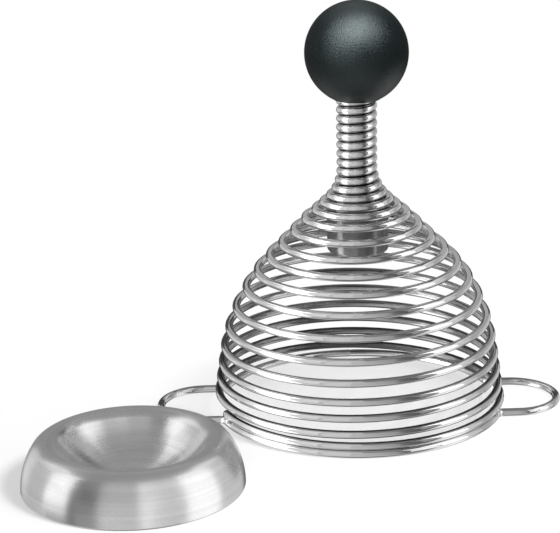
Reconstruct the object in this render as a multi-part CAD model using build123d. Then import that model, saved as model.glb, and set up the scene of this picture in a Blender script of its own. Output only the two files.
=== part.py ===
from build123d import *
import math
import os

# Spring nutcracker: a wire bell that stands on a ring with two finger loops, a sprung striker
# that a ball knob pulls up, and a loose anvil dish. Millimetres, +Z up, and the origin is on
# the table at the centre of the foot ring. The finger loops lie along X.

# Clearances
WELD_GAP = 0.05          # between the coil's end turn and the ring that it is welded to
RUN_GAP = 0.3            # between the coil and the pieces that trap its neck
STEM_CLEARANCE = 0.4     # between the stem and the inside of the neck

# Foot ring, measured on the wire's centre line
RING_WIRE = 2.25
RING_RADIUS = 42.0
LOOP_HALF_WIDTH = 12.9
LOOP_REACH = 59.0        # from the axis to the tip of a loop
LOOP_BEND = 2.4          # where the ring turns out into a loop

# Coil: the side of the bell, from the foot up, measured on the wire's centre line
COIL_WIRE = 2.25
WALL_LEAN = 8.0          # degrees from upright
WALL_LENGTH = 14.6
SHOULDER_RADIUS = 57.0
CONE_LEAN = 46.0         # degrees from upright
FLARE_RADIUS = 11.7

# Coil: how it is wound, in turns counted from the cut end at the foot
CUT_END_ANGLE = -162.0   # degrees from +X, over the corner of the left loop
SEATED_TURNS = 0.53      # the stretch that lies on the ring
COIL_TURNS = 26.1
TURN_GAPS = [            # clear gap to the next turn along the side of the bell
    (0.65, 4.60),
    (0.92, 4.40),
    (1.10, 1.20),
    (1.60, 2.50),
    (3.20, 2.50),
    (6.00, 4.65),
    (7.60, 3.90),
    (10.00, 3.02),
    (11.70, 2.66),
    (13.70, 0.65),
    (15.70, 0.43),
]
GAP_SAMPLES = 6          # points on each arc when the least gap is measured

# Weld spots in the groove between the coil's end turn and the ring
WELD_RADIUS = 0.85
WELD_OFFSET = 1.0        # outwards from the centre line
WELD_STEP_BACK = 3.3     # degrees along the ring from a loop's corner

# Plunger
KNOB_DIAMETER = 30.0
KNOB_FLAT = 13.0         # flat under the ball
KNOB_RECESS = 2.4        # depth of the recess in the flat, which takes the end of the neck
INSERT_ACROSS_FLATS = 9.0
INSERT_LENGTH = 12.0
STEM_DIAMETER = 6.0
STEM_SHOULDER = 0.5      # step from the shank down to each threaded end
STEM_END_LENGTH = 10.0
STEM_END_CHAMFER = 0.6
STRIKER_DIAMETER = 17.0
STRIKER_LENGTH = 18.7
STRIKER_TOP_RIM = 1.5    # flat rim around the stem
STRIKER_SEAT_EASE = 6.0  # degrees that the striker's cone is steeper than the bell's cone
STRIKER_EDGE = 0.5

# Anvil dish, pressed from sheet
DISH_PLACE = (-65.1, -56.2)
DISH_RADIUS = 30.7
DISH_HEIGHT = 13.6
DISH_CREST_RADIUS = 23.4
DISH_CREST_ROLL = 4.6    # how tightly the sheet turns over the crest
DISH_SHEET = 1.2
DISH_LIFT = 0.2          # the bowl's underside clears the table

# Heights that follow
RING_Z = RING_WIRE / 2
SEAT_Z = RING_WIRE + WELD_GAP + COIL_WIRE / 2
NECK_RADIUS = STEM_DIAMETER / 2 + STEM_CLEARANCE + COIL_WIRE / 2
LEAN = math.radians(WALL_LEAN)
CONE = math.radians(CONE_LEAN)
TURN = 2 * math.pi


def ring_half():
    """Centre line of the ring's right half: front arc, loop, rear arc."""
    bend_y = LOOP_HALF_WIDTH + LOOP_BEND
    bend_x = math.sqrt((RING_RADIUS + LOOP_BEND) ** 2 - bend_y**2)
    touch = RING_RADIUS / (RING_RADIUS + LOOP_BEND)
    corner_x = bend_x * touch
    corner_y = bend_y * touch
    tip_x = LOOP_REACH - LOOP_HALF_WIDTH
    along_ring = Vector(corner_y, corner_x).normalized()
    half = RING_RADIUS * math.sqrt(0.5)
    front = Edge.make_three_point_arc((0, -RING_RADIUS), (half, -half), (corner_x, -corner_y))
    bend_out = Edge.make_tangent_arc((corner_x, -corner_y), along_ring, (bend_x, -LOOP_HALF_WIDTH))
    leg_out = Edge.make_line((bend_x, -LOOP_HALF_WIDTH), (tip_x, -LOOP_HALF_WIDTH))
    tip = Edge.make_three_point_arc(
        (tip_x, -LOOP_HALF_WIDTH), (LOOP_REACH, 0), (tip_x, LOOP_HALF_WIDTH)
    )
    leg_back = Edge.make_line((tip_x, LOOP_HALF_WIDTH), (bend_x, LOOP_HALF_WIDTH))
    bend_back = Edge.make_tangent_arc((bend_x, LOOP_HALF_WIDTH), (-1, 0), (corner_x, corner_y))
    rear = Edge.make_three_point_arc((corner_x, corner_y), (half, half), (0, RING_RADIUS))
    return Wire([front, bend_out, leg_out, tip, leg_back, bend_back, rear])


def foot_ring():
    """One wire bent into a ring with a finger loop on each side, its ends butted together."""
    section = Plane(origin=(0, -RING_RADIUS, 0), z_dir=(1, 0, 0)) * Circle(RING_WIRE / 2)
    half = sweep(section, path=ring_half())
    ring = half + half.rotate(Axis.Z, 180)
    return ring.moved(Location((0, 0, RING_Z)))


def bell_side(length):
    """Radius and height of the coil's centre line at a length up the side of the bell."""
    wall = WALL_LENGTH
    shoulder = wall + SHOULDER_RADIUS * (CONE - LEAN)
    drawn_in = WALL_LENGTH * math.sin(LEAN)
    drawn_in += SHOULDER_RADIUS * (math.cos(LEAN) - math.cos(CONE))
    drawn_in += FLARE_RADIUS * (1 - math.cos(CONE))
    cone = shoulder + (RING_RADIUS - NECK_RADIUS - drawn_in) / math.sin(CONE)
    flare = cone + FLARE_RADIUS * CONE

    run = min(length, wall)
    radius = RING_RADIUS - run * math.sin(LEAN)
    height = SEAT_Z + run * math.cos(LEAN)
    if length > wall:
        lean = LEAN + (min(length, shoulder) - wall) / SHOULDER_RADIUS
        radius -= SHOULDER_RADIUS * (math.cos(LEAN) - math.cos(lean))
        height += SHOULDER_RADIUS * (math.sin(lean) - math.sin(LEAN))
    if length > shoulder:
        run = min(length, cone) - shoulder
        radius -= run * math.sin(CONE)
        height += run * math.cos(CONE)
    if length > cone:
        lean = CONE - (min(length, flare) - cone) / FLARE_RADIUS
        radius -= FLARE_RADIUS * (math.cos(lean) - math.cos(CONE))
        height += FLARE_RADIUS * (math.sin(CONE) - math.sin(lean))
    if length > flare:
        height += length - flare
    return radius, height, flare


def climbed(turn):
    """Length up the side of the bell that the coil has climbed at a turn."""
    stages = [(SEATED_TURNS, 0.0)]
    stages += [(at, COIL_WIRE + gap) for at, gap in TURN_GAPS]
    stages += [(COIL_TURNS, stages[-1][1])]
    length = 0.0
    for (start, pitch), (end, next_pitch) in zip(stages, stages[1:]):
        run = min(max(turn - start, 0.0), end - start)
        slope = (next_pitch - pitch) / (end - start)
        length += pitch * run + slope * run**2 / 2
    return length


def coil_point(turn):
    radius, height, _ = bell_side(climbed(turn))
    angle = math.radians(CUT_END_ANGLE) + TURN * turn
    return Vector(radius * math.cos(angle), radius * math.sin(angle), height)


def coil_heading(turn):
    step = 0.002
    before = max(turn - step, 0.0)
    after = min(turn + step, COIL_TURNS)
    if turn <= SEATED_TURNS:
        angle = math.radians(CUT_END_ANGLE) + TURN * turn
        return Vector(-math.sin(angle), math.cos(angle), 0)
    return (coil_point(after) - coil_point(before)).normalized()


def biarc(start, heading, end, end_heading):
    """Two arcs that leave start along heading, meet smoothly and arrive along end_heading."""
    chord = end - start
    squared = 2 * (1 - heading.dot(end_heading))
    linear = 2 * chord.dot(heading + end_heading)
    constant = -chord.dot(chord)
    reach = (-linear + math.sqrt(linear**2 - 4 * squared * constant)) / (2 * squared)
    near = start + heading * reach
    far = end - end_heading * reach
    middle = (near + far) * 0.5
    first = Edge.make_tangent_arc(start, heading, middle)
    second = Edge.make_tangent_arc(middle, (far - near).normalized(), end)
    return [first, second]


def coil_stops():
    """Turns at which one biarc hands over to the next, a quarter turn apart or a little less."""
    stops = []
    for start, end in ((0.0, SEATED_TURNS), (SEATED_TURNS, COIL_TURNS)):
        steps = math.ceil((end - start) / 0.25)
        stops += [start + (end - start) * i / steps for i in range(steps)]
    return stops + [COIL_TURNS]


def coil_arcs():
    stops = coil_stops()
    arcs = []
    for turn, after in zip(stops, stops[1:]):
        arcs += biarc(coil_point(turn), coil_heading(turn), coil_point(after), coil_heading(after))
    return arcs


def least_gap(arcs):
    """Least clear distance between the coil and its own next turn, on points of the arcs."""
    points = [arc.position_at(i / GAP_SAMPLES) for arc in arcs for i in range(GAP_SAMPLES)]
    shortest = math.inf
    for i, point in enumerate(points):
        for other in points[i + 4 * GAP_SAMPLES : i + 12 * GAP_SAMPLES]:
            shortest = min(shortest, (other - point).length)
    return shortest - COIL_WIRE


def coil_spring():
    """Neck, bell and seated end turn, wound as one unbroken wire."""
    arcs = coil_arcs()
    path = Wire(arcs)
    section = Plane(origin=coil_point(0), z_dir=coil_heading(0)) * Circle(COIL_WIRE / 2)
    wire = sweep(section, path=path)
    expected = math.pi * (COIL_WIRE / 2) ** 2 * path.length
    print(f"coil: least gap to itself {least_gap(arcs):.3f} mm")
    print(f"coil: length {path.length:.0f} mm, volume is {wire.volume / expected:.4f} of section x length")
    return wire


def spot_welds():
    """Beads that hold the coil's end turn to the ring at three of the loops' corners."""
    corner = math.degrees(math.asin((LOOP_HALF_WIDTH + LOOP_BEND) / (RING_RADIUS + LOOP_BEND)))
    angles = [180 + corner + WELD_STEP_BACK, -corner - WELD_STEP_BACK, corner + WELD_STEP_BACK]
    ring_tube = Pos(0, 0, RING_Z) * Torus(RING_RADIUS, RING_WIRE / 2)
    coil_tube = Pos(0, 0, SEAT_Z) * Torus(RING_RADIUS, COIL_WIRE / 2)
    groove = Vector(RING_RADIUS + WELD_OFFSET, 0, RING_WIRE + WELD_GAP / 2)
    bead = Pos(groove) * Sphere(WELD_RADIUS) - ring_tube - coil_tube
    return Compound([bead.rotate(Axis.Z, angle) for angle in angles])


def striker_profile():
    """Height of the striker's top, and where its cone starts on its side."""
    _, _, flare = bell_side(0)
    _, neck_z, _ = bell_side(flare)
    lean = CONE - math.radians(STRIKER_SEAT_EASE)
    reach = FLARE_RADIUS + COIL_WIRE / 2 + RUN_GAP
    touch_r = NECK_RADIUS + FLARE_RADIUS - reach * math.cos(lean)
    touch_z = neck_z - reach * math.sin(lean)
    rim = STEM_DIAMETER / 2 + STRIKER_TOP_RIM
    top = touch_z + (touch_r - rim) / math.tan(lean)
    side = touch_z - (STRIKER_DIAMETER / 2 - touch_r) / math.tan(lean)
    return rim, top, side


STRIKER_RIM, STRIKER_TOP_Z, STRIKER_SIDE_Z = striker_profile()
KNOB_SEAT_Z = coil_point(COIL_TURNS).Z + COIL_WIRE / 2 + RUN_GAP
KNOB_FLAT_Z = KNOB_SEAT_Z - KNOB_RECESS
KNOB_Z = KNOB_FLAT_Z + math.sqrt((KNOB_DIAMETER / 2) ** 2 - (KNOB_FLAT / 2) ** 2)
THREAD_RADIUS = STEM_DIAMETER / 2 - STEM_SHOULDER


def knob_insert():
    """Hexagonal bush moulded into the ball, with a blind thread for the stem."""
    hexagon = RegularPolygon(INSERT_ACROSS_FLATS / 2, 6, major_radius=False)
    bush = extrude(hexagon, INSERT_LENGTH)
    thread = Cylinder(THREAD_RADIUS, STEM_END_LENGTH, align=(Align.CENTER, Align.CENTER, Align.MIN))
    return (bush - thread).moved(Location((0, 0, KNOB_SEAT_Z)))


def ball_knob():
    """Ball with a flat underneath, a recess for the end of the neck and the bush's pocket."""
    ball = Pos(0, 0, KNOB_Z) * Sphere(KNOB_DIAMETER / 2)
    above_flat = Pos(0, 0, KNOB_FLAT_Z) * Cylinder(
        KNOB_DIAMETER, KNOB_DIAMETER, align=(Align.CENTER, Align.CENTER, Align.MIN)
    )
    recess_radius = NECK_RADIUS + COIL_WIRE / 2 + RUN_GAP
    recess = Pos(0, 0, KNOB_FLAT_Z) * Cylinder(
        recess_radius, KNOB_RECESS, align=(Align.CENTER, Align.CENTER, Align.MIN)
    )
    hexagon = RegularPolygon(INSERT_ACROSS_FLATS / 2, 6, major_radius=False)
    pocket = extrude(hexagon, INSERT_LENGTH).moved(Location((0, 0, KNOB_SEAT_Z)))
    return (ball & above_flat) - recess - pocket


def pull_stem():
    """Shank through the neck, with a threaded end in the striker and one in the knob."""
    foot = STRIKER_TOP_Z - STEM_END_LENGTH
    head = KNOB_SEAT_Z + STEM_END_LENGTH
    tip = THREAD_RADIUS - STEM_END_CHAMFER
    outline = Polyline(
        (0, foot),
        (tip, foot),
        (THREAD_RADIUS, foot + STEM_END_CHAMFER),
        (THREAD_RADIUS, STRIKER_TOP_Z),
        (STEM_DIAMETER / 2, STRIKER_TOP_Z),
        (STEM_DIAMETER / 2, KNOB_SEAT_Z),
        (THREAD_RADIUS, KNOB_SEAT_Z),
        (THREAD_RADIUS, head - STEM_END_CHAMFER),
        (tip, head),
        (0, head),
        close=True,
    )
    return revolve(Plane.XZ * make_face(outline), axis=Axis.Z)


def striker():
    """Turned steel slug: its cone carries the flare of the coil, its flat foot hits the nut."""
    radius = STRIKER_DIAMETER / 2
    foot = STRIKER_TOP_Z - STRIKER_LENGTH
    outline = Polyline(
        (0, foot),
        (radius - STRIKER_EDGE, foot),
        (radius, foot + STRIKER_EDGE),
        (radius, STRIKER_SIDE_Z),
        (STRIKER_RIM, STRIKER_TOP_Z),
        (THREAD_RADIUS, STRIKER_TOP_Z),
        (THREAD_RADIUS, STRIKER_TOP_Z - STEM_END_LENGTH),
        (0, STRIKER_TOP_Z - STEM_END_LENGTH),
        close=True,
    )
    return revolve(Plane.XZ * make_face(outline), axis=Axis.Z)


def dish_skin(inset):
    """Points and arcs of the dish's section, drawn inwards from the outer skin by inset."""
    roll = DISH_CREST_ROLL
    crest_z = DISH_HEIGHT - roll
    floor = DISH_SHEET + DISH_LIFT
    overhang = DISH_RADIUS - DISH_CREST_RADIUS
    wall = (overhang**2 + crest_z**2 - roll**2) / (2 * (overhang - roll))
    rise = crest_z - floor
    bowl = (DISH_CREST_RADIUS**2 + rise**2 - roll**2) / (2 * (rise + roll))

    wall_centre = Vector(DISH_RADIUS - wall, 0)
    crest = Vector(DISH_CREST_RADIUS, crest_z)
    bowl_centre = Vector(0, floor + bowl)
    out = (crest - wall_centre).normalized()
    back = (bowl_centre - crest).normalized()
    base = Vector(DISH_RADIUS - inset, 0)
    to_crest = crest + out * (roll - inset)
    to_bowl = crest + back * (roll - inset)
    middle = bowl_centre + Vector(0, -bowl - inset)
    over = (out + back).normalized()
    half_wall = (Vector(1, 0) + out).normalized()
    half_bowl = (Vector(0, -1) - back).normalized()
    return [
        Edge.make_three_point_arc(base, wall_centre + half_wall * (wall - inset), to_crest),
        Edge.make_three_point_arc(to_crest, crest + over * (roll - inset), to_bowl),
        Edge.make_three_point_arc(to_bowl, bowl_centre + half_bowl * (bowl + inset), middle),
    ]


def anvil_dish():
    """Pressed half-ring with a bowl in the middle that holds the nut."""
    outer = dish_skin(0)
    inner = dish_skin(DISH_SHEET)
    rim = Edge.make_line(inner[0].position_at(0), outer[0].position_at(0))
    axis = Edge.make_line(outer[2].position_at(1), inner[2].position_at(1))
    section = make_face(Wire([rim] + outer + [axis] + inner))
    return revolve(Plane.XZ * section, axis=Axis.Z).moved(Location((*DISH_PLACE, 0)))


PIECES = {
    "foot_ring": foot_ring,
    "coil_spring": coil_spring,
    "spot_welds": spot_welds,
    "ball_knob": ball_knob,
    "knob_insert": knob_insert,
    "pull_stem": pull_stem,
    "striker": striker,
    "anvil_dish": anvil_dish,
}

os.makedirs("parts", exist_ok=True)
for name, make in PIECES.items():
    export_step(make(), f"parts/{name}.step")
print(f"striker foot {STRIKER_TOP_Z - STRIKER_LENGTH:.2f}, striker top {STRIKER_TOP_Z:.2f}")
print(f"knob flat {KNOB_FLAT_Z:.2f}, recess floor {KNOB_SEAT_Z:.2f}")
print(f"knob centre {KNOB_Z:.2f}, knob top {KNOB_Z + KNOB_DIAMETER / 2:.2f}")
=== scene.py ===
import math

import bpy
import numpy as np
from mathutils import Matrix, Quaternion, Vector


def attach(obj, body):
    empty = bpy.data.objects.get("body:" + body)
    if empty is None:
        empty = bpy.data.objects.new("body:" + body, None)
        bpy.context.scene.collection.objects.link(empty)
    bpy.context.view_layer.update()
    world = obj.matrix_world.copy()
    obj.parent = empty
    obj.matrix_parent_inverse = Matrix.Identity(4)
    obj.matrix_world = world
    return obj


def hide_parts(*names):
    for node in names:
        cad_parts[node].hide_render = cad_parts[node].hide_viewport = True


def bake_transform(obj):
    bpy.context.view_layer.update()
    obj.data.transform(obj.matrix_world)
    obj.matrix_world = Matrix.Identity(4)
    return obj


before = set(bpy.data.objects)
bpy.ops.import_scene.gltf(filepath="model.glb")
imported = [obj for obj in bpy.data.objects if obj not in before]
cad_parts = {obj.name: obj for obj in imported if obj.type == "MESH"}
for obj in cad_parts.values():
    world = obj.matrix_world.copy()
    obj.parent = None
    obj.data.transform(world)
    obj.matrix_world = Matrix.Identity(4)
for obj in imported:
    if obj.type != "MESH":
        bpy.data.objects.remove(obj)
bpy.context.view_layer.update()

# Spring nutcracker. Sizes are in millimetres and go to metres when a mesh is made.
MM = 0.001
TAU = 2 * math.pi

# Foot ring, on its centre line, with a loop for the fingers on each side
RING_WIRE = 2.25
RING_RADIUS = 42.0
RING_HEIGHT = RING_WIRE / 2
RING_BUTT_SHARE = 0.93
LOOP_HALF_WIDTH = 12.9
LOOP_REACH = 59.0
LOOP_BEND = 2.4

# Wire of the coil, a little thicker in the neck, where its turns nearly touch
WIRE = 2.32
NECK_WIRE = 2.48
NECK_WIRE_TURNS = (14.5, 17.5)
WIRE_SIDES = 20

# Side of the bell, on the wire's centre line: leaning wall, round shoulder, cone and flare into the neck
SEAT_HEIGHT = 3.425
NECK_RADIUS = 4.65
WALL_LEAN = math.radians(8)
WALL_LENGTH = 14.6
SHOULDER_RADIUS = 57.0
CONE_LEAN = math.radians(46)
FLARE_RADIUS = 11.7

# How the coil is wound: turns from the cut end, and the rise per turn along the side.
# The held turns stay on the ring and don't give when the ball is pulled.
CUT_END = math.radians(-162)
SEATED_TURNS = 0.53
HELD_TURNS = 1.05
COIL_TURNS = 26.45
COIL_STEPS_PER_TURN = 72
NECK_PITCH = 2.58
PITCHES = [
    (SEATED_TURNS, 0.0),
    (0.65, 6.85),
    (0.92, 6.65),
    (1.10, 3.45),
    (1.60, 4.75),
    (3.20, 4.75),
    (6.00, 6.90),
    (7.60, 6.15),
    (10.00, 5.27),
    (11.70, 4.76),
    (13.70, 3.11),
    (15.70, NECK_PITCH),
    (COIL_TURNS, NECK_PITCH),
]

# How the winding strays from a true bell: turn, shift to the right and drop
STRAY = [
    (0.5, 0.0, 0.0), (1.2, 0.0, 0.12), (2.2, 0.0, 0.08), (3.2, 0.0, 0.25), (4.2, 0.05, -0.05),
    (5.2, 0.20, -0.05), (6.2, 0.40, 0.0), (7.2, 0.60, 0.12), (8.2, 0.70, 0.30), (9.2, 0.70, 0.72),
    (10.2, 0.58, 0.70), (11.2, 0.42, 0.32), (12.2, 0.30, 0.10), (13.2, 0.34, 0.54), (14.2, 0.22, 0.58),
    (15.2, 0.18, 0.55), (16.2, 0.12, 0.40), (17.2, 0.0, 0.33), (18.2, -0.08, 0.23), (26.5, -0.08, 0.23),
]

# Cut ends of the coil: where the first cut is and how long the broken edges are, in turns,
# and the width that is left at each cut as a share of the wire
FOOT_CUT = 0.004
FOOT_EDGE = 0.0005
FOOT_CUT_SHARE = 0.92
TOP_EDGE = 0.006
TOP_CUT_SHARE = 0.86

# Weld beads: degrees past the corner of a loop, place on the ring, half sizes and unevenness
WELD_PAST_CORNER = 3.3
WELD_OUT = 0.86
WELD_UP = 0.03
WELD_HALF_LENGTH = 1.05
WELD_HALF_DEPTH = 0.8
WELD_HALF_HEIGHT = 0.74
WELD_LUMPS = 0.06
WELD_RIPPLE = 0.04

# Ball, with a flat below and a recess in it that takes the end of the neck
KNOB_CENTRE = 106.7
KNOB_RADIUS = 14.9
KNOB_FLAT = 93.38
KNOB_SEAT = 95.78
KNOB_RECESS_RADIUS = 6.05

# Soft corners of the ball: in the recess, at its mouth, and round the flat,
# where the ball gives up some degrees of its arc
KNOB_RECESS_BREAK = 0.1
KNOB_MOUTH_BREAK = 0.08
KNOB_EDGE_DEGREES = 1.0
KNOB_EDGE_FLAT = 0.2
KNOB_EDGE_IN = 0.06
KNOB_EDGE_DOWN = 0.1

# Striker, a turned slug with a cone towards the neck
STRIKER_FOOT = 48.73
STRIKER_TOP = 67.43
STRIKER_RADIUS = 8.5
STRIKER_SHOULDER = 62.66
STRIKER_RIM = 4.5
STRIKER_FOOT_ROUNDING = 0.55
STRIKER_SHOULDER_ROUNDING = 0.5
STRIKER_RIM_ROUNDING = 0.25
STRIKER_HOLLOW = 2.9
STRIKER_HOLLOW_DEPTH = 0.1

# Anvil dish
DISH = (-65.1, -56.2)
DISH_RADIUS = 30.7
DISH_HEIGHT = 13.6
DISH_CREST = 23.4
DISH_ROLL = 4.6
DISH_SHEET = 1.2
DISH_FLOOR = 1.4
DISH_PLACE = (DISH[0] * MM, DISH[1] * MM, 0.0)

# Rounded foot of the dish, as points of (depth into the sheet, height)
DISH_OUTER_FOOT = [(0.0, 0.4), (0.12, 0.1), (0.35, 0.0)]
DISH_INNER_FOOT = [(0.3, 0.0), (0.08, 0.1), (0.0, 0.4)]


# Mesh tools


def make_object(name, points, faces):
    """Smooth-shaded mesh object from points in millimetres."""
    mesh = bpy.data.meshes.new(name)
    mesh.from_pydata([tuple(p) for p in np.asarray(points) * MM], [], faces)
    mesh.polygons.foreach_set("use_smooth", [True] * len(mesh.polygons))
    mesh.update()
    obj = bpy.data.objects.new(name, mesh)
    bpy.context.scene.collection.objects.link(obj)
    return obj


def lathe(name, outline, segments, centre=(0.0, 0.0)):
    """Turns an outline of (radius, height), pole to pole, about an upright axis."""
    angles = np.arange(segments) * TAU / segments
    inner = outline[1:-1]
    points = []
    for radius, height in inner:
        x = centre[0] + radius * np.cos(angles)
        y = centre[1] + radius * np.sin(angles)
        points += list(zip(x, y, np.full(segments, height)))
    start = len(points)
    points.append((*centre, outline[0][1]))
    points.append((*centre, outline[-1][1]))
    faces = []
    last = (len(inner) - 1) * segments
    for i in range(segments):
        j = (i + 1) % segments
        faces.append((start, j, i))
        faces.append((start + 1, last + i, last + j))
        for row in range(len(inner) - 1):
            a = row * segments
            b = a + segments
            faces.append((a + i, a + j, b + j, b + i))
    return make_object(name, points, faces)


def tube(name, line, radii, sides, closed):
    """Round bar along a line of points, with its grain laid out lengthwise in its UVs."""
    line = np.asarray(line, float)
    count = len(line)
    if closed:
        heading = np.roll(line, -1, 0) - np.roll(line, 1, 0)
    else:
        heading = np.gradient(line, axis=0)
    heading /= np.linalg.norm(heading, axis=1)[:, None]
    up = np.tile((0.0, 0.0, 1.0), (count, 1))
    side = np.cross(heading, up)
    side /= np.linalg.norm(side, axis=1)[:, None]
    up = np.cross(side, heading)
    angles = np.arange(sides) * TAU / sides
    ring = side[:, None] * np.cos(angles)[None, :, None] + up[:, None] * np.sin(angles)[None, :, None]
    points = (line[:, None] + ring * np.asarray(radii)[:, None, None]).reshape(-1, 3)
    faces = []
    for i in range(count if closed else count - 1):
        a = i * sides
        b = (i + 1) % count * sides
        for s in range(sides):
            t = (s + 1) % sides
            faces.append((a + s, a + t, b + t, b + s))
    if not closed:
        faces.append(tuple(reversed(range(sides))))
        faces.append(tuple(range((count - 1) * sides, count * sides)))
    obj = make_object(name, points, faces)
    lay_grain(obj, line, sides, closed)
    return obj


def lay_grain(obj, line, sides, closed):
    """UVs of a tube: millimetres along it, and a share of the way round it."""
    count = len(line)
    steps = np.linalg.norm(np.diff(line, axis=0), axis=1)
    along = np.concatenate([[0.0], np.cumsum(steps)])
    layer = obj.data.uv_layers.new(name="grain")
    spans = count if closed else count - 1
    uv = np.zeros((len(obj.data.loops), 2))
    for i in range(spans):
        far = along[i + 1] if i + 1 < count else along[i] + steps.mean()
        rows = np.arange(sides)
        block = np.empty((sides, 4, 2))
        block[:, 0] = np.stack([np.full(sides, along[i]), rows / sides], 1)
        block[:, 1] = np.stack([np.full(sides, along[i]), (rows + 1) / sides], 1)
        block[:, 2] = np.stack([np.full(sides, far), (rows + 1) / sides], 1)
        block[:, 3] = np.stack([np.full(sides, far), rows / sides], 1)
        uv[i * sides * 4:(i + 1) * sides * 4] = block.reshape(-1, 2)
    layer.data.foreach_set("uv", uv.ravel())


def arc(centre, radius, start, end, steps):
    """Points on an arc, angles in degrees."""
    turns = np.radians(np.linspace(start, end, steps))
    return [(centre[0] + radius * math.cos(a), centre[1] + radius * math.sin(a)) for a in turns]


def soften(corners, steps=6):
    """Outline through corners of (x, y, rounding), each corner rounded by an arc."""
    out = []
    for i, (x, y, rounding) in enumerate(corners):
        here = Vector((x, y))
        if rounding == 0:
            out.append((x, y))
            continue
        before = (Vector(corners[i - 1][:2]) - here).normalized()
        after = (Vector(corners[i + 1][:2]) - here).normalized()
        half = before.angle(after) / 2
        middle = here + (before + after).normalized() * (rounding / math.sin(half))
        reach = rounding / math.tan(half)
        first = here + before * reach - middle
        second = here + after * reach - middle
        for k in range(steps + 1):
            spoke = first.slerp(second, k / steps)
            out.append(tuple(middle + spoke))
    return out


# Coil


def bell_side(length):
    """Radius and height of the coil's centre line at a length up the side of the bell."""
    shoulder = WALL_LENGTH + SHOULDER_RADIUS * (CONE_LEAN - WALL_LEAN)
    drawn_in = WALL_LENGTH * math.sin(WALL_LEAN)
    drawn_in += SHOULDER_RADIUS * (math.cos(WALL_LEAN) - math.cos(CONE_LEAN))
    drawn_in += FLARE_RADIUS * (1 - math.cos(CONE_LEAN))
    cone = shoulder + (RING_RADIUS - NECK_RADIUS - drawn_in) / math.sin(CONE_LEAN)
    flare = cone + FLARE_RADIUS * CONE_LEAN
    run = np.minimum(length, WALL_LENGTH)
    radius = RING_RADIUS - run * math.sin(WALL_LEAN)
    height = SEAT_HEIGHT + run * math.cos(WALL_LEAN)
    lean = WALL_LEAN + (np.clip(length, WALL_LENGTH, shoulder) - WALL_LENGTH) / SHOULDER_RADIUS
    radius -= SHOULDER_RADIUS * (math.cos(WALL_LEAN) - np.cos(lean))
    height += SHOULDER_RADIUS * (np.sin(lean) - math.sin(WALL_LEAN))
    run = np.clip(length, shoulder, cone) - shoulder
    radius -= run * math.sin(CONE_LEAN)
    height += run * math.cos(CONE_LEAN)
    lean = CONE_LEAN - (np.clip(length, cone, flare) - cone) / FLARE_RADIUS
    radius -= FLARE_RADIUS * (np.cos(lean) - math.cos(CONE_LEAN))
    height += FLARE_RADIUS * (math.sin(CONE_LEAN) - np.sin(lean))
    height += np.maximum(length, flare) - flare
    return radius, height


def wind(pitches, turns):
    """Sum of a pitch that runs straight from one listed turn to the next."""
    total = np.zeros_like(turns)
    for (start, pitch), (end, next_pitch) in zip(pitches, pitches[1:]):
        run = np.clip(turns - start, 0.0, end - start)
        total += pitch * run + (next_pitch - pitch) / (end - start) * run**2 / 2
    return total


def make_coil():
    """Wound wire, and how much of the pull each of its points follows."""
    turns = np.linspace(0.0, COIL_TURNS, int(COIL_TURNS * COIL_STEPS_PER_TURN) + 1)
    foot_edge = [FOOT_CUT, FOOT_CUT + FOOT_EDGE]
    top_edge = [COIL_TURNS - TOP_EDGE, COIL_TURNS]
    turns = np.concatenate([foot_edge, turns[1:-1], top_edge])
    radius, height = bell_side(wind(PITCHES, turns))
    angle = CUT_END + TAU * turns
    stray_turns, right, drop = np.transpose(STRAY)
    right = np.interp(turns, stray_turns, right)
    drop = np.interp(turns, stray_turns, drop)
    line = np.stack([radius * np.cos(angle) + right, radius * np.sin(angle), height - drop], 1)
    radii = np.interp(turns, NECK_WIRE_TURNS, (WIRE / 2, NECK_WIRE / 2))
    radii[0] *= FOOT_CUT_SHARE
    radii[-1] *= TOP_CUT_SHARE
    wire = tube("coil_wire", line, radii, WIRE_SIDES, closed=False)
    give = [(turn, max(pitch - NECK_PITCH, 0.0) if turn > HELD_TURNS else 0.0) for turn, pitch in PITCHES]
    share = wind(give, turns)
    share /= share[-1]
    return wire, np.repeat(share, WIRE_SIDES)


# Foot ring


def ring_line():
    """Centre line of the foot ring, from its butt joint at the rear and round."""
    bend_y = LOOP_HALF_WIDTH + LOOP_BEND
    bend_x = math.sqrt((RING_RADIUS + LOOP_BEND) ** 2 - bend_y**2)
    corner = math.degrees(math.atan2(bend_y, bend_x))
    tip = LOOP_REACH - LOOP_HALF_WIDTH
    leg_steps = 8
    rear = arc((0, 0), RING_RADIUS, 90, corner, steps=70)
    bend_in = arc((bend_x, bend_y), LOOP_BEND, 180 + corner, 270, steps=12)
    leg = [(bend_x + (tip - bend_x) * k / leg_steps, LOOP_HALF_WIDTH) for k in range(1, leg_steps)]
    end = arc((tip, 0), LOOP_HALF_WIDTH, 90, 0, steps=32)
    quarter = rear + bend_in[1:] + leg + end
    half = quarter + [(x, -y) for x, y in reversed(quarter[:-1])]
    return half[:-1] + [(-x, -y) for x, y in half[:-1]]


def make_ring():
    """Bent ring, a little narrower where its ends butt."""
    flat = ring_line()
    # The same way round as the coil, so that the grain faces out on both
    flat = flat[:1] + flat[:0:-1]
    line = [(x, y, RING_HEIGHT) for x, y in flat]
    radii = np.full(len(line), RING_WIRE / 2)
    radii[0] *= RING_BUTT_SHARE
    return tube("foot_wire", line, radii, WIRE_SIDES, closed=True)


def weld_bump(turn, polar, phase):
    """Unevenness of a bead: broad lumps and a finer ripple."""
    lumps = WELD_LUMPS * math.sin(3 * turn + phase[0]) * math.sin(2 * polar + phase[1])
    ripple = WELD_RIPPLE * math.sin(5 * turn + phase[2]) * math.sin(4 * polar + phase[3])
    return 1 + lumps + ripple


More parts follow.
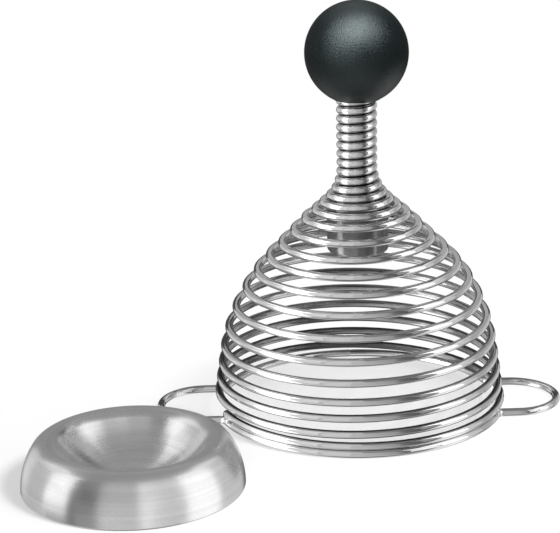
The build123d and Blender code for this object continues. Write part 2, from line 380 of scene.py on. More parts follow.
def make_welds():
    """Small uneven beads in the groove between the coil's end turn and the ring."""
    corner = math.degrees(math.asin((LOOP_HALF_WIDTH + LOOP_BEND) / (RING_RADIUS + LOOP_BEND)))
    past = corner + WELD_PAST_CORNER
    draw = np.random.default_rng(7)
    points = []
    faces = []
    rows = 14
    columns = 20
    up = np.array((0.0, 0.0, 1.0))
    for bearing in (180 + past, -past, past):
        angle = math.radians(bearing)
        out = np.array((math.cos(angle), math.sin(angle), 0.0))
        along = np.array((-math.sin(angle), math.cos(angle), 0.0))
        middle = out * (RING_RADIUS + WELD_OUT) + up * (RING_WIRE + WELD_UP)
        phase = draw.uniform(0, TAU, 4)
        start = len(points)
        for r in range(1, rows):
            polar = math.pi * r / rows
            for c in range(columns):
                turn = TAU * c / columns
                spoke = along * math.cos(polar) * WELD_HALF_LENGTH
                spoke += out * math.sin(polar) * math.cos(turn) * WELD_HALF_DEPTH
                spoke += up * math.sin(polar) * math.sin(turn) * WELD_HALF_HEIGHT
                points.append(middle + spoke * weld_bump(turn, polar, phase))
        points.append(middle + along * WELD_HALF_LENGTH)
        points.append(middle - along * WELD_HALF_LENGTH)
        tip = len(points) - 2
        last = start + (rows - 2) * columns
        for c in range(columns):
            d = (c + 1) % columns
            faces.append((tip, start + c, start + d))
            faces.append((tip + 1, last + d, last + c))
            for r in range(rows - 2):
                a = start + r * columns
                faces.append((a + c, a + columns + c, a + columns + d, a + d))
    return make_object("weld_beads", points, faces)


# Plunger and dish


def make_knob():
    """Ball with a softened edge round its flat, and the recess that takes the end of the neck."""
    flat = math.degrees(math.asin((KNOB_FLAT - KNOB_CENTRE) / KNOB_RADIUS))
    ball = arc((0, KNOB_CENTRE), KNOB_RADIUS, flat + KNOB_EDGE_DEGREES, 90, steps=90)
    edge, edge_height = ball[0]
    below = [
        (0, KNOB_SEAT),
        (KNOB_RECESS_RADIUS / 2, KNOB_SEAT),
        (KNOB_RECESS_RADIUS - KNOB_RECESS_BREAK, KNOB_SEAT),
        (KNOB_RECESS_RADIUS, KNOB_SEAT - KNOB_RECESS_BREAK),
        (KNOB_RECESS_RADIUS, KNOB_FLAT + KNOB_RECESS_BREAK),
        (KNOB_RECESS_RADIUS + KNOB_MOUTH_BREAK, KNOB_FLAT),
        (edge - KNOB_EDGE_FLAT, KNOB_FLAT),
        (edge - KNOB_EDGE_IN, edge_height - KNOB_EDGE_DOWN),
    ]
    return lathe("knob_ball", below + ball, segments=144)


def make_striker():
    """Slug with rounded edges, a cone and a shallow hollow round the stem."""
    corners = [
        (0, STRIKER_FOOT, 0),
        (STRIKER_RADIUS, STRIKER_FOOT, STRIKER_FOOT_ROUNDING),
        (STRIKER_RADIUS, STRIKER_SHOULDER, STRIKER_SHOULDER_ROUNDING),
        (STRIKER_RIM, STRIKER_TOP, STRIKER_RIM_ROUNDING),
        (STRIKER_HOLLOW, STRIKER_TOP, 0),
        (0, STRIKER_TOP - STRIKER_HOLLOW_DEPTH, 0),
    ]
    return lathe("striker_slug", soften(corners), segments=128)


def dish_arcs(inset):
    """Bowl, crest and wall of the dish's section, drawn in from the outer skin by inset."""
    crest = Vector((DISH_CREST, DISH_HEIGHT - DISH_ROLL))
    over = DISH_RADIUS - DISH_CREST
    wall = (over**2 + crest.y**2 - DISH_ROLL**2) / (2 * (over - DISH_ROLL))
    rise = crest.y - DISH_FLOOR
    bowl = (DISH_CREST**2 + rise**2 - DISH_ROLL**2) / (2 * (rise + DISH_ROLL))
    wall_at = Vector((DISH_RADIUS - wall, 0))
    bowl_at = Vector((0, DISH_FLOOR + bowl))
    out = math.degrees(math.atan2(crest.y - wall_at.y, crest.x - wall_at.x))
    back = math.degrees(math.atan2(bowl_at.y - crest.y, bowl_at.x - crest.x))
    points = arc(bowl_at, bowl + inset, -90, back - 180, steps=40)
    points += arc(crest, DISH_ROLL - inset, back, out, steps=32)[1:]
    points += arc(wall_at, wall - inset, out, 0, steps=24)[1:]
    return points


def make_dish():
    """Pressed sheet, down from the bowl over the crest to a rounded foot, and back inside."""
    outer = dish_arcs(0)
    inner = dish_arcs(DISH_SHEET)
    foot = [(DISH_RADIUS - inset, height) for inset, height in DISH_OUTER_FOOT]
    foot += [(DISH_RADIUS - DISH_SHEET + inset, height) for inset, height in DISH_INNER_FOOT]
    outline = outer[:-1] + foot + list(reversed(inner[:-1]))
    return lathe("dish_pressing", outline, segments=224, centre=DISH)


# Material tools


class Nodes:
    """Adds nodes to a tree and joins them by name."""

    def __init__(self, tree):
        self.tree = tree

    def add(self, kind, links=None, **settings):
        """Node with its settings, its inputs joined to other sockets or set to plain values."""
        node = self.tree.nodes.new(kind)
        for key, value in settings.items():
            setattr(node, key, value)
        for socket, value in (links or {}).items():
            target = node.inputs[socket]
            if isinstance(value, bpy.types.NodeSocket):
                self.tree.links.new(value, target)
            else:
                target.default_value = value
        return node

    def math(self, operation, a, b=0.0):
        """Result of an operation on sockets or numbers."""
        return self.add("ShaderNodeMath", {0: a, 1: b}, operation=operation).outputs[0]

    def place(self):
        """Place on the object, in metres."""
        return self.add("ShaderNodeTexCoord").outputs["Object"]

    def parts(self, vector):
        """X, Y and Z of a vector."""
        return self.add("ShaderNodeSeparateXYZ", {0: vector}).outputs

    def from_axis(self, x, y):
        """Distance from the upright axis."""
        squares = self.math("ADD", self.math("MULTIPLY", x, x), self.math("MULTIPLY", y, y))
        return self.math("SQRT", squares)

    def stretch(self, vector, scale):
        """Vector times a scale of its own along each axis."""
        return self.add("ShaderNodeMapping", {"Vector": vector, "Scale": scale}).outputs[0]

    def noise(self, place, scale=1.0, detail=2.0, roughness=0.5):
        """Cloudy pattern from 0 to 1."""
        links = {"Vector": place, "Scale": scale, "Detail": detail, "Roughness": roughness}
        return self.add("ShaderNodeTexNoise", links).outputs["Fac"]

    def ramp(self, value, start, end, low=0.0, high=1.0, **settings):
        """Goes from low to high while the value goes from start to end."""
        links = {"Value": value, "From Min": start, "From Max": end, "To Min": low, "To Max": high}
        return self.add("ShaderNodeMapRange", links, **settings).outputs[0]

    def mix(self, share, first, second, **settings):
        """Goes from first to second with the share. Numbers, unless the settings ask for colours."""
        links = {"Factor": share, "A": first, "B": second}
        return self.add("ShaderNodeMix", links, **settings).outputs["Result"]

    def mix_colours(self, share, first, second, **settings):
        """Goes from the first colour to the second with the share."""
        return self.mix(share, first, second, data_type="RGBA", **settings)

    def bump(self, height, strength, distance):
        """Normal of a surface with a fine relief."""
        links = {"Height": height, "Strength": strength, "Distance": distance}
        return self.add("ShaderNodeBump", links).outputs[0]


def new_material(name):
    """Empty material and the nodes to fill it with."""
    material = bpy.data.materials.new(name)
    material.use_nodes = True
    material.node_tree.nodes.clear()
    return material, Nodes(material.node_tree)


def finish_material(material, nodes, sockets):
    """Closes a material with its shader and output."""
    shader = nodes.add("ShaderNodeBsdfPrincipled", sockets)
    nodes.add("ShaderNodeOutputMaterial", {"Surface": shader.outputs[0]})
    return material


def new_group(name, inputs, outputs):
    """Empty node group with named sockets."""
    group = bpy.data.node_groups.new(name, "ShaderNodeTree")
    for socket, kind, value in inputs:
        made = group.interface.new_socket(name=socket, in_out="INPUT", socket_type=kind)
        if value is not None:
            made.default_value = value
    for socket, kind in outputs:
        group.interface.new_socket(name=socket, in_out="OUTPUT", socket_type=kind)
    nodes = Nodes(group)
    entry = group.nodes.new("NodeGroupInput")
    leave = group.nodes.new("NodeGroupOutput")
    return group, nodes, entry.outputs, leave.inputs


def handling_group():
    """Smears and fine scuffs: a colour and a roughness that vary over the surface."""
    inputs = [
        ("Clean Colour", "NodeSocketColor", (0.7, 0.7, 0.7, 1)),
        ("Dull Colour", "NodeSocketColor", (0.6, 0.6, 0.6, 1)),
        ("Smooth", "NodeSocketFloat", 0.1),
        ("Dull", "NodeSocketFloat", 0.25),
        ("Smear Scale", "NodeSocketFloat", 60.0),
        ("Scuff Scale", "NodeSocketFloat", 900.0),
    ]
    outputs = [("Colour", "NodeSocketColor"), ("Roughness", "NodeSocketFloat")]
    group, nodes, given, made = new_group("handling_marks", inputs, outputs)
    smear_weight = 0.65
    scuff_weight = 0.35
    place = nodes.place()
    smear = nodes.noise(place, given["Smear Scale"], detail=4.0, roughness=0.6)
    scuff = nodes.noise(place, given["Scuff Scale"])
    smeared = nodes.math("MULTIPLY", nodes.ramp(smear, 0.35, 0.7), smear_weight)
    scuffed = nodes.math("MULTIPLY", nodes.ramp(scuff, 0.45, 0.75), scuff_weight)
    worn = nodes.math("ADD", smeared, scuffed)
    rough = nodes.ramp(worn, 0.0, 1.0, given["Smooth"], given["Dull"])
    colour = nodes.mix_colours(worn, given["Clean Colour"], given["Dull Colour"])
    group.links.new(colour, made["Colour"])
    group.links.new(rough, made["Roughness"])
    return group


def turning_group():
    """Marks that run round an upright axis, as a lathe or a brushing wheel leaves them."""
    inputs = [
        ("Centre", "NodeSocketVector", None),
        ("Marks per Metre", "NodeSocketFloat", 3000.0),
        ("Streaks round", "NodeSocketFloat", 1.5),
    ]
    outputs = [("Height", "NodeSocketFloat"), ("Streak", "NodeSocketFloat")]
    group, nodes, given, made = new_group("turning_marks", inputs, outputs)
    streaks_per_mark = 0.22
    offset = nodes.add("ShaderNodeVectorMath", {0: nodes.place(), 1: given["Centre"]}, operation="SUBTRACT")
    x, y, z = nodes.parts(offset.outputs[0])
    fine = nodes.add("ShaderNodeCombineXYZ", {
        0: nodes.math("MULTIPLY", nodes.from_axis(x, y), given["Marks per Metre"]),
        1: nodes.math("MULTIPLY", z, given["Marks per Metre"]),
        2: nodes.math("MULTIPLY", nodes.math("ARCTAN2", y, x), given["Streaks round"])}).outputs[0]
    broad = nodes.add("ShaderNodeVectorMath", {0: fine, "Scale": streaks_per_mark}, operation="SCALE")
    group.links.new(nodes.noise(fine, detail=3.0, roughness=0.65), made["Height"])
    group.links.new(nodes.noise(broad.outputs[0]), made["Streak"])
    return group


HANDLING = handling_group()
TURNING = turning_group()


def use_group(nodes, group, **values):
    """Places a group in a material with its own values."""
    node = nodes.add("ShaderNodeGroup", node_tree=group)
    for socket, value in values.items():
        node.inputs[socket.replace("_", " ")].default_value = value
    return node.outputs


# Materials

# Where the painted shade on the wire changes along it, in millimetres from its end
REAR_SHADE_LENGTHS = (250.0, 1100.0)
CREST_SHADE_LENGTHS = (500.0, 1300.0)
NECK_SHADE_LENGTHS = (2650.0, 2800.0)

# Where it changes round the wire, by how far that faces out or up, and how far to the rear of the bell
REAR_SHADE_OUTWARD = (0.1, -0.5)
REAR_SHADE_REARWARD = (0.03, 0.55)
GROOVE_SHADE_UPWARD = (0.3, 1.0)
CREST_SHADE_UPWARD = (0.74, 0.94)

# What it changes to: the range of the streaks in the painted rear shade, the least share of the painted
# groove shade, and the two painted greys of shade
REAR_SHADE_STREAKS = (0.5, 1.4)
GROOVE_SHADE_LEAST = 0.08
GROOVE_SHADE_COLOUR = (0.38, 0.38, 0.38, 1)
CREST_SHADE_COLOUR = (0.04, 0.04, 0.04, 1)


def wire_steel(name, rear_shade_low, rear_shade_high, crest_shade):
    """Polished drawn wire, with faint die lines along it and smears from handling.

    It has painted shade, streaky inside the rear of the bell, in the neck's grooves and on the low turns'
    crests.
    """
    material, nodes = new_material(name)
    marks = use_group(
        nodes, HANDLING, Clean_Colour=(0.74, 0.74, 0.745, 1), Dull_Colour=(0.67, 0.67, 0.675, 1),
        Smooth=0.05, Dull=0.11, Smear_Scale=55.0, Scuff_Scale=1400.0)
    grain = nodes.add("ShaderNodeUVMap", uv_map="grain").outputs[0]
    length, way_round, _ = nodes.parts(grain)
    angle = nodes.math("MULTIPLY", way_round, TAU)
    outward = nodes.math("COSINE", angle)
    upward = nodes.math("SINE", angle)

    # Painted shade, with streaks, inside the rear of the bell, lighter towards the top
    x, y, _ = nodes.parts(nodes.place())
    rearward = nodes.math("DIVIDE", y, nodes.from_axis(x, y))
    inside = nodes.ramp(outward, *REAR_SHADE_OUTWARD)
    rear = nodes.ramp(rearward, *REAR_SHADE_REARWARD)
    rear_shade = nodes.ramp(length, *REAR_SHADE_LENGTHS, rear_shade_low, rear_shade_high)
    streaks = nodes.noise(nodes.stretch(grain, (0.03, 7.0, 1.0)))
    streaked_shade = nodes.math("MULTIPLY", rear_shade, nodes.ramp(streaks, 0.38, 0.62, *REAR_SHADE_STREAKS))
    colour = nodes.mix_colours(nodes.math("MULTIPLY", inside, rear), marks["Colour"], streaked_shade)

    # Painted shade in the grooves between the turns of the neck
    groove = nodes.ramp(nodes.math("ABSOLUTE", upward), *GROOVE_SHADE_UPWARD, low=GROOVE_SHADE_LEAST)
    neck = nodes.ramp(length, *NECK_SHADE_LENGTHS)
    colour = nodes.mix_colours(nodes.math("MULTIPLY", groove, neck), colour, GROOVE_SHADE_COLOUR)

    # Painted shade on the crests of the low turns, which face the dark under the turn above
    crest = nodes.ramp(upward, *CREST_SHADE_UPWARD)
    low = nodes.ramp(length, *CREST_SHADE_LENGTHS, crest_shade, 0.0)
    colour = nodes.mix_colours(nodes.math("MULTIPLY", crest, low), colour, CREST_SHADE_COLOUR)

    die_lines = nodes.noise(nodes.stretch(grain, (0.12, 46.0, 1.0)), detail=3.0)
    return finish_material(material, nodes, {
        "Base Color": colour, "Roughness": marks["Roughness"], "Metallic": 1.0,
        "Normal": nodes.bump(die_lines, strength=0.1, distance=0.00002)})


def weld_steel():
    """Heat-dulled beads."""
    material, nodes = new_material("weld_steel")
    marks = use_group(
        nodes, HANDLING, Clean_Colour=(0.8, 0.8, 0.79, 1), Dull_Colour=(0.5, 0.49, 0.47, 1),
        Smooth=0.12, Dull=0.4, Smear_Scale=900.0, Scuff_Scale=4000.0)
    return finish_material(material, nodes, {
        "Base Color": marks["Colour"], "Roughness": marks["Roughness"], "Metallic": 1.0})


def turned_steel(name, clean, dull, smooth, rough, centre, marks_per_metre, anisotropy, depth):
    """Steel with marks round its axis, from turning or from a brushing wheel."""
    material, nodes = new_material(name)
    marks = use_group(
        nodes, HANDLING, Clean_Colour=clean, Dull_Colour=dull,
        Smooth=smooth, Dull=rough, Smear_Scale=70.0, Scuff_Scale=1600.0)
    turning = use_group(nodes, TURNING, Centre=centre, Marks_per_Metre=marks_per_metre, Streaks_round=1.6)
    streak = nodes.ramp(turning["Streak"], 0.3, 0.7, low=0.88)
    round_axis = nodes.add("ShaderNodeTangent", direction_type="RADIAL", axis="Z")
    return finish_material(material, nodes, {
        "Base Color": nodes.mix_colours(1.0, marks["Colour"], streak, blend_type="MULTIPLY"),
        "Roughness": marks["Roughness"], "Metallic": 1.0,
        "Anisotropic": anisotropy, "Anisotropic Rotation": 0.25, "Tangent": round_axis.outputs[0],
        "Normal": nodes.bump(turning["Height"], strength=0.3, distance=depth)})


def knob_plastic():
    """Dark moulded plastic with a fine spark-eroded grain."""
    material, nodes = new_material("knob_plastic")
    marks = use_group(
        nodes, HANDLING, Clean_Colour=(0.0016, 0.0024, 0.0026, 1), Dull_Colour=(0.0024, 0.0034, 0.0037, 1),
        Smooth=0.32, Dull=0.39, Smear_Scale=90.0, Scuff_Scale=2400.0)
    grains_per_metre = 3000.0
    pits_per_metre = 4000.0
    pit_weight = 0.6
    place = nodes.place()
    coarse = nodes.noise(place, grains_per_metre, detail=3.0, roughness=0.7)
    pits = nodes.add("ShaderNodeTexVoronoi", {"Vector": place, "Scale": pits_per_metre}).outputs["Distance"]
    grain = nodes.math("ADD", coarse, nodes.math("MULTIPLY", pits, pit_weight))
    return finish_material(material, nodes, {
        "Base Color": marks["Colour"], "Roughness": marks["Roughness"],
        "Normal": nodes.bump(grain, strength=0.5, distance=0.0002),
        "Specular IOR Level": 0.25, "Specular Tint": (0.84, 1.0, 1.0, 1)})


def bush_brass():
    """Turned brass, dulled by the moulding."""
    material, nodes = new_material("bush_brass")
    marks = use_group(
        nodes, HANDLING, Clean_Colour=(0.82, 0.62, 0.28, 1), Dull_Colour=(0.6, 0.45, 0.22, 1),
        Smooth=0.2, Dull=0.4, Smear_Scale=120.0, Scuff_Scale=1600.0)
    return finish_material(material, nodes, {
        "Base Color": marks["Colour"], "Roughness": marks["Roughness"], "Metallic": 1.0})


def dress(obj, material):
    """Gives an object its one material."""
    obj.data.materials.clear()
    obj.data.materials.append(material)


# The pieces

# Both wires get painted shade: the coil in the rear of the bell, its neck grooves and low crests, the ring
# in its rear and faintly on its crests
COIL_STEEL = wire_steel("coil_steel", rear_shade_low=0.20, rear_shade_high=0.40, crest_shade=0.95)
RING_STEEL = wire_steel("ring_steel", rear_shade_low=0.64, rear_shade_high=0.64, crest_shade=0.15)
STRIKER_STEEL = turned_steel(
    "striker_steel", clean=(0.36, 0.36, 0.365, 1), dull=(0.31, 0.31, 0.315, 1), smooth=0.26, rough=0.32,
    centre=(0, 0, 0), marks_per_metre=4200.0, anisotropy=0.9, depth=0.00002)
DISH_STEEL = turned_steel(
    "dish_steel", clean=(0.66, 0.66, 0.66, 1), dull=(0.58, 0.58, 0.58, 1), smooth=0.26, rough=0.34,
    centre=DISH_PLACE, marks_per_metre=3800.0, anisotropy=0.82, depth=0.00006)

coil, coil_share = make_coil()
dress(coil, COIL_STEEL)
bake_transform(coil)
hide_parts("coil_spring")

ring = make_ring()
dress(ring, RING_STEEL)
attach(ring, "cage")
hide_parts("foot_ring")

welds = make_welds()
dress(welds, weld_steel())
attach(welds, "cage")
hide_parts("spot_welds")

knob = make_knob()
dress(knob, knob_plastic())
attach(knob, "plunger")
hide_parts("ball_knob")

striker = make_striker()
dress(striker, STRIKER_STEEL)
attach(striker, "plunger")
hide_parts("striker")

dish = make_dish()
dress(dish, DISH_STEEL)
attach(dish, "dish")
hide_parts("anvil_dish")

dress(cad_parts["pull_stem"], STRIKER_STEEL)
dress(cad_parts["knob_insert"], bush_brass())


# Studio. The table top is in millimetres, as the pieces are, and all else is in metres.

# Table top, and its shade inside the ring and round the dish: the radii over which it fades into
# plain white, and the share of white that is left in it
TABLE_HALF = 2500.0
TABLE_DROP = 0.02
TABLE_COLOUR = (0.92, 0.92, 0.92, 1)
RING_SHADE = (0.035, 0.065)
RING_SHADE_WHITE = 0.55
DISH_SHADE = (0.038, 0.07)
DISH_SHADE_WHITE = 0.28


def make_floor():
    """White table top that keeps the soft shadows. The metal mirrors the studio instead of it."""
    material, nodes = new_material("table_top")
    path = nodes.add("ShaderNodeLightPath")
    place = nodes.place()
    by_ring = nodes.add("ShaderNodeVectorMath", {0: place}, operation="LENGTH")
    by_dish = nodes.add("ShaderNodeVectorMath", {0: place, 1: DISH_PLACE}, operation="DISTANCE")
    inside = nodes.ramp(by_ring.outputs["Value"], *RING_SHADE, low=RING_SHADE_WHITE)
    round_dish = nodes.ramp(by_dish.outputs["Value"], *DISH_SHADE, low=DISH_SHADE_WHITE)
    bare = nodes.math("MINIMUM", inside, round_dish)
    paper = nodes.add("ShaderNodeBsdfDiffuse", {"Color": TABLE_COLOUR})
    white = nodes.add("ShaderNodeEmission", {"Color": (1, 1, 1, 1), "Strength": 1.0})
    seen = nodes.math("MULTIPLY", bare, path.outputs["Is Camera Ray"])
    both = nodes.add("ShaderNodeMixShader", {0: seen, 1: paper.outputs[0], 2: white.outputs[0]})
    nodes.add("ShaderNodeOutputMaterial", {"Surface": both.outputs[0]})
    corners = [(-1, -1), (1, -1), (1, 1), (-1, 1)]
    points = [(x * TABLE_HALF, y * TABLE_HALF, -TABLE_DROP) for x, y in corners]
    floor = make_object("table", points, [(0, 1, 2, 3)])
    floor.visible_glossy = False
    floor.visible_shadow = False
    dress(floor, material)


# What the metal mirrors, by bearing from the front in degrees: the room's walls, and the table below them
STUDIO_WALLS = [
    (-180, 0.08), (-150, 0.11), (-125, 0.20), (-100, 0.22), (-66, 0.18), (-37, 0.18), (-31, 0.55),
    (-3, 0.55), (26, 0.32), (33, 0.17), (60, 0.06), (125, 0.06), (150, 0.07), (180, 0.08),
]
STUDIO_TABLE = [
    (-180, 0.50), (-158, 0.80), (-128, 1.00), (-98, 1.15), (-75, 0.95), (-40, 0.78), (0, 0.70), (35, 0.55),
    (50, 0.27), (68, 0.35), (84, 0.90), (97, 1.35), (112, 1.10), (142, 1.00), (158, 0.65), (180, 0.50),
]

# Rest of the room: ceiling, unlit rear and the table under the tool, and the fill for matt surfaces
STUDIO_CEILING = 0.14
STUDIO_REAR = 0.08
STUDIO_UNDER = 0.15
STUDIO_FILL = 0.5


def level_curve(nodes, share, levels):
    """Grey that follows a list of bearings and levels."""
    node = nodes.add("ShaderNodeFloatCurve", {"Value": share})
    node.mapping.use_clip = False
    curve = node.mapping.curves[0]
    for degrees, grey in levels[1:-1]:
        curve.points.new(degrees / 360 + 0.5, grey)
    curve.points[0].location = (0.0, levels[0][1])
    curve.points[-1].location = (1.0, levels[-1][1])
    for point in curve.points:
        point.handle_type = "VECTOR"
    node.mapping.update()
    return node.outputs[0]


def make_world():
    """White to the camera, an even fill to matt surfaces, and a studio in the metal."""
    world = bpy.data.worlds.new("studio")
    bpy.context.scene.world = world
    world.use_nodes = True
    world.node_tree.nodes.clear()
    nodes = Nodes(world.node_tree)
    path = nodes.add("ShaderNodeLightPath").outputs
    # Parts of a direction of length 1, so z is the sine of the elevation
    x, y, z = nodes.parts(nodes.add("ShaderNodeTexCoord").outputs["Generated"])
    bearing = nodes.math("ARCTAN2", x, nodes.math("MULTIPLY", y, -1.0))
    share = nodes.math("ADD", nodes.math("DIVIDE", bearing, TAU), 0.5)
    walls = level_curve(nodes, share, STUDIO_WALLS)
    table = level_curve(nodes, share, STUDIO_TABLE)
    above = nodes.ramp(z, 0.70, 0.92, interpolation_type="SMOOTHSTEP")
    below = nodes.ramp(z, -0.42, -0.80, interpolation_type="SMOOTHSTEP")
    behind = nodes.math("MULTIPLY", nodes.ramp(y, 0.80, 0.95), nodes.ramp(z, -0.12, 0.04))
    under = nodes.ramp(z, -0.88, -0.99)
    roofed = nodes.mix(above, walls, STUDIO_CEILING)
    unlit = nodes.mix(behind, roofed, STUDIO_REAR)
    shaded = nodes.mix(under, table, STUDIO_UNDER)
    room = nodes.mix(below, unlit, shaded)
    mirrored = nodes.mix(path["Is Glossy Ray"], STUDIO_FILL, room)
    seen = nodes.math("MAXIMUM", path["Is Camera Ray"], path["Is Transmission Ray"])
    light = nodes.mix(seen, mirrored, 1.0)
    background = nodes.add("ShaderNodeBackground", {"Color": (1, 1, 1, 1), "Strength": light})
    nodes.add("ShaderNodeOutputWorld", {"Surface": background.outputs[0]})


# Lamps for matt surfaces and shadows: name, place, target, width, height and power
ROOM_BOXES = [
    ("key_box", (0.33, -0.25, 0.51), (-0.04, -0.03, 0), 0.16, 0.16, 3.2),
    ("left_box", (-0.52, -0.06, 0.17), (-0.04, -0.03, 0.05), 0.36, 0.34, 0.6),
    ("right_box", (0.50, -0.16, 0.17), (-0.02, -0.03, 0.05), 0.40, 0.34, 0.9),
]

# Lamps for the ball alone, aimed at its middle: name, place, width, height, power and roll in degrees
KNOB_MIDDLE = (0, 0, 0.107)
KNOB_BOXES = [
    ("knob_box", (-0.025, -0.19, 0.50), 0.56, 0.22, 12.6, 14),
    ("knob_left_box", (-0.30, -0.375, 0.27), 0.25, 0.25, 1.9, 0),
    ("knob_top_box", (0.0, 0.24, 0.38), 0.30, 0.20, 0.20, 0),
    ("knob_bounce", (0, -0.20, -0.18), 0.40, 0.40, 0.5, 0),
    ("knob_right_box", (0.25, 0.14, -0.12), 0.16, 0.16, 0.10, 0),
]

# Panels that some pieces mirror: name, bearings and elevations in degrees, and brightness
PANEL_CENTRE = (-0.01, -0.01, 0.05)
PANEL_DISTANCE = 2.0
WIRE_PANELS = [
    ("left_rear_wall", (-152, -127), (-28, 46), 0.42),
    ("left_rear_low_wall", (-155, -121), (-27, 5), 0.20),
    ("left_side_wall", (-127, -92), (-20, 44), 0.58),
    ("left_panel_edge", (-104, -92), (8, 44), 0.42),
    ("left_low_edge", (-104, -92), (-45, 8), 0.22),
    ("left_panel", (-93, -60), (-50, 47), 2.20),
    ("left_wall", (-60, -35), (-32, 50), 0.72),
    ("front_wall", (-35, -10), (-36, 50), 0.22),
    ("middle_wall", (-10, 28), (-36, 50), 0.07),
    ("high_front", (-60, 0), (50, 69), 0.38),
    ("high_left_front", (-95, -60), (50, 69), 0.34),
    ("high_left", (-165, -95), (56, 70), 0.30),
    ("high_left_panel", (-145, -90), (36, 57), 0.75),
    ("high_right", (95, 165), (50, 64), 0.15),
    ("high_right_panel", (90, 130), (34, 57), 0.45),
    ("right_wall", (45, 62), (-15, 50), 0.27),
    ("right_panel", (62, 87), (-12, 54), 1.70),
    ("right_low_panel", (60, 86), (-45, -12), 0.84),
    ("right_panel_edge", (86, 104), (-45, 52), 0.70),
    ("right_high_edge", (86, 104), (-8, 52), 0.28),
    ("right_side_wall", (104, 152), (-30, 46), 0.44),
    ("right_rear_low_wall", (119, 152), (-29, 7), 0.18),
]
RING_PANELS = [("ring_right_panel", (36, 60), (-20, 50), 0.90)]
STRIKER_PANELS = [
    ("striker_left_panel", (-84, -63), (-60, 30), 5.40),
    ("striker_front_panel", (-63, -5), (-60, 30), 0.50),
    ("striker_right_panel", (63, 71), (-60, 30), 2.60),
]
DISH_PANEL_CENTRE = (DISH_PLACE[0], DISH_PLACE[1], 0.01)
DISH_PANELS = [
    ("dish_left_edge", (-152, -97), (-40, 24), 0.52),
    ("dish_left_high", (-136, -97), (24, 52), 0.95),
    ("dish_left_panel", (-97, -67), (-12, 48), 1.50),
    ("dish_front_wall", (-35, 8), (-40, 50), 0.12),
    ("dish_low_front", (-58, 20), (-40, 6), 0.26),
    ("dish_right_wall", (8, 57), (-40, 50), 0.78),
    ("dish_right_panel", (57, 98), (-45, 48), 1.65),
    ("dish_right_high", (98, 134), (24, 52), 1.00),
    ("dish_right_edge", (98, 150), (-40, 24), 0.80),
    ("dish_rear_wall", (150, 230), (-20, 50), 0.30),
]

# Level panels that some pieces mirror: name, place, width, depth and brightness
WIRE_OVERHEADS = [
    ("over_left", (-0.45, -0.4, 2.0), 0.9, 1.0, 0.28),
    ("over_right", (0.45, -0.4, 2.0), 0.9, 1.0, 0.16),
    ("over_rear", (0.0, 0.5, 2.0), 1.8, 0.8, 0.12),
]
DISH_OVERHEADS = [("dish_ceiling", (DISH_PLACE[0], DISH_PLACE[1], 0.34), 0.7, 0.7, 0.30)]


def soft_box(name, place, target, width, height, power, only=None, roll=0.0):
    """Area lamp that the camera doesn't see. One that serves some pieces alone shows in their gloss."""
    light = bpy.data.lights.new(name, "AREA")
    light.shape = "RECTANGLE"
    light.size = width
    light.size_y = height
    light.energy = power
    obj = bpy.data.objects.new(name, light)
    obj.location = place
    aim = (Vector(target) - Vector(place)).to_track_quat("-Z", "Y")
    obj.rotation_euler = (aim @ Quaternion((0, 0, 1), math.radians(roll))).to_euler()
    obj.visible_camera = False
    bpy.context.scene.collection.objects.link(obj)
    if only is None:
        obj.visible_glossy = False
    else:
        served = bpy.data.collections.new(name + "_serves")
        for piece in only:
            served.objects.link(piece)
        obj.light_linking.receiver_collection = served


def mirrored_box(name, place, target, width, height, brightness, only):
    """Lamp that is given by how bright it looks in the metal."""
    soft_box(name, place, target, width, height, brightness * math.pi * width * height, only)


def panel(name, bearings, elevations, brightness, only, centre=PANEL_CENTRE, distance=PANEL_DISTANCE):
    """Upright panel between two bearings and two elevations, as seen from its centre."""
    start, end = bearings
    low, high = elevations
    middle = math.radians((start + end) / 2)
    width = 2 * distance * math.tan(math.radians(end - start) / 2)
    foot = distance * math.tan(math.radians(low))
    head = distance * math.tan(math.radians(high))
    target = Vector(centre) + Vector((0, 0, (foot + head) / 2))
    place = target + Vector((math.sin(middle), -math.cos(middle), 0)) * distance
    mirrored_box(name, place, target, width, head - foot, brightness, only)


def overhead(name, place, width, depth, brightness, only):
    """Level panel that faces down."""
    mirrored_box(name, place, (place[0], place[1], 0.0), width, depth, brightness, only)


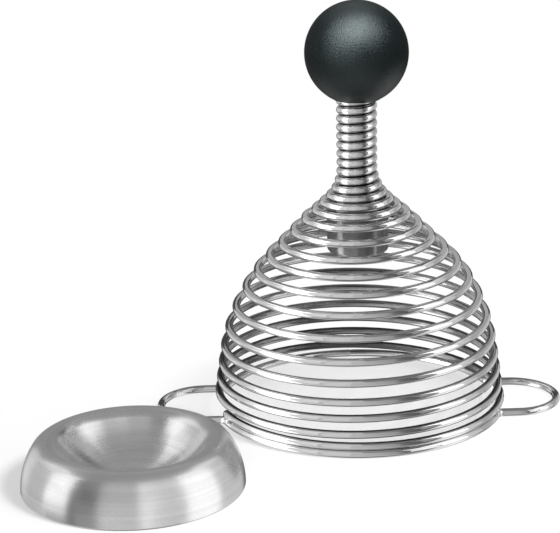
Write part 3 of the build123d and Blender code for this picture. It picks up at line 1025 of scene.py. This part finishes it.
def make_lamps():
    """All lamps and panels of the studio."""
    wires = [coil, ring, welds]
    for box in ROOM_BOXES:
        soft_box(*box)
    for name, place, width, height, power, roll in KNOB_BOXES:
        soft_box(name, place, KNOB_MIDDLE, width, height, power, [knob], roll)
    for row in WIRE_PANELS:
        panel(*row, wires)
    panel("rear_card", (145, 215), (24, 42), 0.40, wires, centre=(0, 0, 0), distance=0.16)
    for row in WIRE_OVERHEADS:
        overhead(*row, wires)
    for row in RING_PANELS:
        panel(*row, [ring])
    for row in STRIKER_PANELS:
        panel(*row, [striker])
    for row in DISH_PANELS:
        panel(*row, [dish], DISH_PANEL_CENTRE)
    for row in DISH_OVERHEADS:
        overhead(*row, [dish])


def make_camera():
    """Camera fitted to the turns of the coil, the ring and the ball in the photo."""
    distance = 0.6205
    elevation = math.radians(21.113)
    azimuth = math.radians(-3.487)
    pan = math.radians(2.164)
    tilt = math.radians(3.805)
    roll = math.radians(0.255)
    focal_pixels = 2067.2
    photo_width = 560
    level = math.cos(elevation)
    place = Vector((math.sin(azimuth) * level, -math.cos(azimuth) * level, math.sin(elevation)))
    ahead = -place
    right = ahead.cross(Vector((0, 0, 1))).normalized()
    up = right.cross(ahead)
    turn = Matrix.Rotation(pan, 3, up)
    ahead, right = turn @ ahead, turn @ right
    turn = Matrix.Rotation(tilt, 3, right)
    ahead, up = turn @ ahead, turn @ up
    turn = Matrix.Rotation(roll, 3, ahead)
    right, up = turn @ right, turn @ up
    camera = bpy.data.cameras.new("camera")
    camera.sensor_fit = "HORIZONTAL"
    camera.sensor_width = 36.0
    camera.lens = focal_pixels / photo_width * camera.sensor_width
    camera.clip_start = 0.01
    obj = bpy.data.objects.new("camera", camera)
    basis = Matrix((right, up, -ahead)).transposed().to_4x4()
    obj.matrix_world = Matrix.Translation(place * distance) @ basis
    bpy.context.scene.collection.objects.link(obj)
    bpy.context.scene.camera = obj


make_floor()
make_world()
make_lamps()
# The metal mirrors neither the table nor the dish.
dish.visible_glossy = False
make_camera()
bpy.context.scene.view_settings.view_transform = "Standard"
